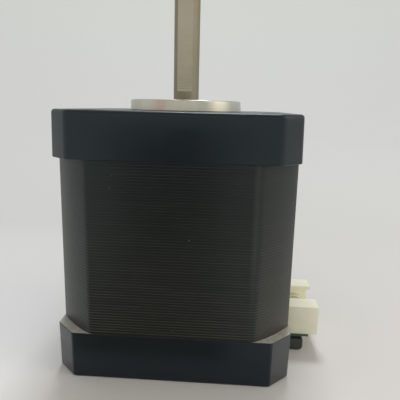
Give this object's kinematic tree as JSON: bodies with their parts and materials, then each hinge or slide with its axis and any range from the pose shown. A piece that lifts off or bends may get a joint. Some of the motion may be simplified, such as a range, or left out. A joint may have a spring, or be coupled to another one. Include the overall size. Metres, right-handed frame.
{
  "type": "stepper motor",
  "caption": "Square hybrid stepper motor with a laminated black body between cast end bells, a raised pilot boss, a D-cut output shaft and a side-entry connector socket.",
  "frame": {"origin": "centre of the flat rear face, on the shaft axis", "axes": "+Z along the shaft towards its output end; +X out of the connector's mouth; the D-cut faces -Y within a few degrees"},
  "size_m": [0.0491, 0.0424, 0.071],
  "materials": {
    "black_paint": "semi-matte blue-black paint on die-cast aluminium",
    "laminations": "black-painted stacked steel laminations",
    "former_nylon": "moulded off-white nylon",
    "spring_steel": "bare spring steel",
    "copper_wire": "enamelled copper windings",
    "screw_steel": "zinc-plated steel",
    "socket_nylon": "moulded ivory nylon",
    "circuit_board": "glass-fibre board with green solder mask",
    "black_pad": "black insulating pad",
    "pin_tin": "tin-plated brass",
    "bearing_steel": "ground bearing steel",
    "cage_nylon": "brown moulded nylon",
    "ball_steel": "polished bearing balls",
    "shaft_steel": "ground steel with fine milling marks on the flat",
    "rotor_steel": "ground rotor laminations",
    "magnet": "sintered ring magnet"
  },
  "bodies": {
    "stator": {"front_bell": "black_paint", "rear_bell": "black_paint", "stator_core": "laminations", "front_insulator": "former_nylon", "rear_insulator": "former_nylon", "wave_washer": "spring_steel", "coil_1": "copper_wire", "coil_2": "copper_wire", "coil_3": "copper_wire", "coil_4": "copper_wire", "coil_5": "copper_wire", "coil_6": "copper_wire", "coil_7": "copper_wire", "coil_8": "copper_wire", "screw_1": "screw_steel", "screw_2": "screw_steel", "screw_3": "screw_steel", "screw_4": "screw_steel", "connector_housing": "socket_nylon", "terminal_board": "circuit_board", "board_pad": "black_pad", "contact_pin_1": "pin_tin", "contact_pin_2": "pin_tin", "contact_pin_3": "pin_tin", "contact_pin_4": "pin_tin", "contact_pin_5": "pin_tin", "contact_pin_6": "pin_tin", "front_bearing_outer_ring": "bearing_steel", "front_bearing_upper_shield": "bearing_steel", "front_bearing_lower_shield": "bearing_steel", "rear_bearing_outer_ring": "bearing_steel", "rear_bearing_upper_shield": "bearing_steel", "rear_bearing_lower_shield": "bearing_steel"},
    "rotor": {"shaft": "shaft_steel", "rotor_cup_front": "rotor_steel", "rotor_cup_rear": "rotor_steel", "rotor_magnet": "magnet", "front_spacer": "spring_steel", "front_bearing_inner_ring": "bearing_steel", "rear_bearing_inner_ring": "bearing_steel"},
    "front_cage": {"front_bearing_cage": "cage_nylon", "front_bearing_ball_1": "ball_steel", "front_bearing_ball_2": "ball_steel", "front_bearing_ball_3": "ball_steel", "front_bearing_ball_4": "ball_steel", "front_bearing_ball_5": "ball_steel", "front_bearing_ball_6": "ball_steel", "front_bearing_ball_7": "ball_steel"},
    "rear_cage": {"rear_bearing_cage": "cage_nylon", "rear_bearing_ball_1": "ball_steel", "rear_bearing_ball_2": "ball_steel", "rear_bearing_ball_3": "ball_steel", "rear_bearing_ball_4": "ball_steel", "rear_bearing_ball_5": "ball_steel", "rear_bearing_ball_6": "ball_steel", "rear_bearing_ball_7": "ball_steel"}
  },
  "joints": [
    {"name": "rotor_spin", "type": "hinge", "parent": "stator", "child": "rotor", "pos_m": [0, 0, 0.02375], "axis": [0, 0, 1], "continuous": true},
    {"name": "front_cage_spin", "type": "hinge", "parent": "stator", "child": "front_cage", "pos_m": [0, 0, 0.0447], "axis": [0, 0, 1], "continuous": true},
    {"name": "rear_cage_spin", "type": "hinge", "parent": "stator", "child": "rear_cage", "pos_m": [0, 0, 0.0055], "axis": [0, 0, 1], "continuous": true}
  ],
  "couplings": [
    {"joint": "front_cage_spin", "follows": "rotor_spin", "ratio": 0.3667},
    {"joint": "rear_cage_spin", "follows": "rotor_spin", "ratio": 0.3667}
  ]
}
